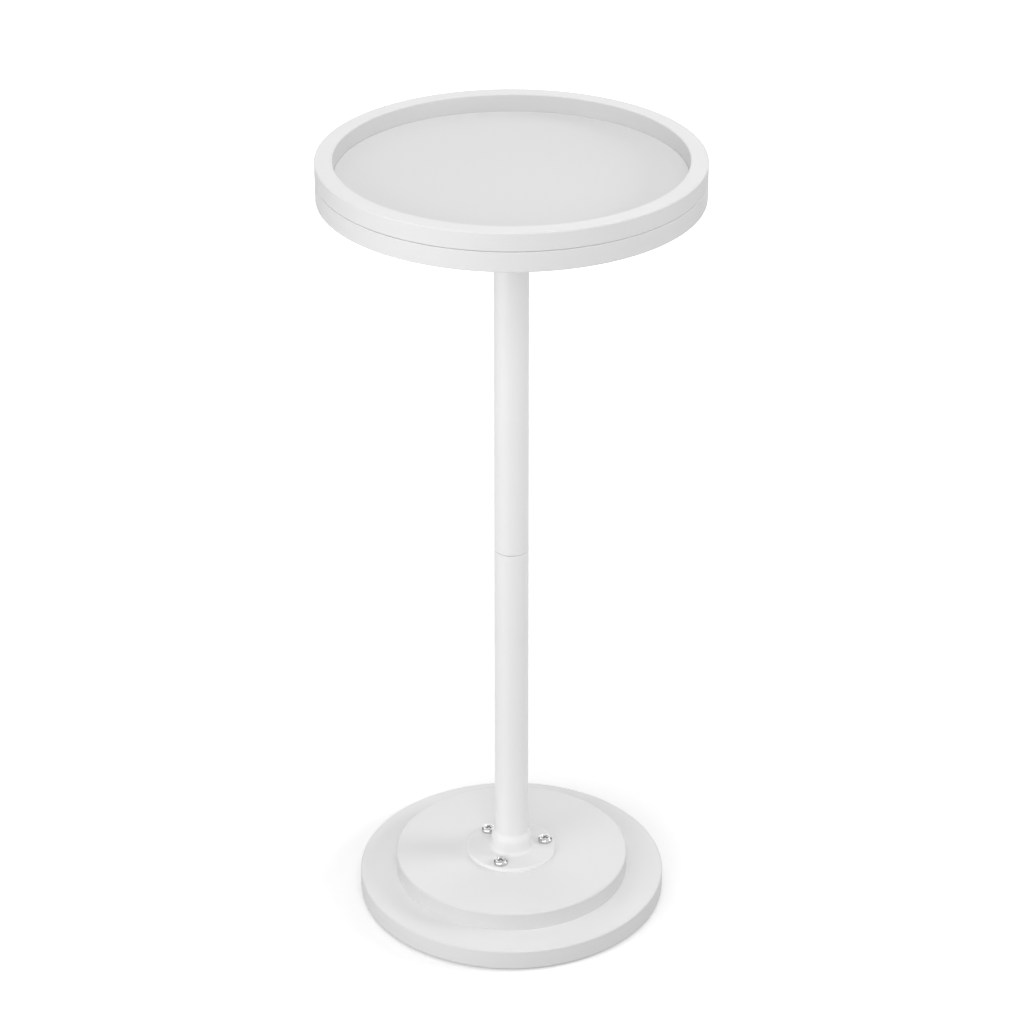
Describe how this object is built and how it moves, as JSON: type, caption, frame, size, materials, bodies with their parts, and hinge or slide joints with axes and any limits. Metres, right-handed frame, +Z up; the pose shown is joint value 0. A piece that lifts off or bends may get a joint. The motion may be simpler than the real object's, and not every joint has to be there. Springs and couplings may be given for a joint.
{
  "type": "pedestal side table",
  "caption": "Small round side table: a tray top with a raised rim on a slim tube post, bolted by a flange to a stepped round base. The post unscrews at mid height.",
  "frame": {"origin": "on the floor, on the post's axis", "axes": "+Z up along the post, -Y towards the viewer of the picture, +X to the viewer's right"},
  "size_m": [0.3, 0.3, 0.663],
  "materials": {
    "painted_board": "satin white paint",
    "painted_steel": "satin white powder coat",
    "bright_screw": "bright plated",
    "wood_screw": "zinc plated",
    "insert_steel": "zinc plated",
    "plug_steel": "zinc plated",
    "dowel_wood": "bare beech",
    "foot_pad": "matt foam rubber"
  },
  "bodies": {
    "lower_half": {"foot_pads": "foot_pad", "base_plate": "painted_board", "base_tier_screws": "wood_screw", "base_tier": "painted_board", "base_inserts": "insert_steel", "base_flange": "painted_steel", "base_flange_screws": "bright_screw", "lower_post": "painted_steel", "lower_post_plug": "plug_steel"},
    "stud": {"joining_stud": "plug_steel"},
    "upper_half": {"upper_post_plug": "plug_steel", "upper_post": "painted_steel", "top_flange": "painted_steel", "top_flange_screws": "bright_screw", "top_panel_inserts": "insert_steel", "top_panel": "painted_board", "rim_dowels": "dowel_wood", "tray_rim": "painted_board"}
  },
  "joints": [
    {"name": "post_thread_rise", "type": "slide", "parent": "lower_half", "child": "stud", "axis": [0, 0, 1], "range_m": [0, 0.018]},
    {"name": "post_thread_turn", "type": "hinge", "parent": "stud", "child": "upper_half", "pos_m": [0, 0, 0.325], "axis": [0, 0, 1], "range_deg": [0, 4320]}
  ],
  "couplings": [
    {"joint": "post_thread_rise", "follows": "post_thread_turn", "m_per_rad": 0.00023873}
  ]
}
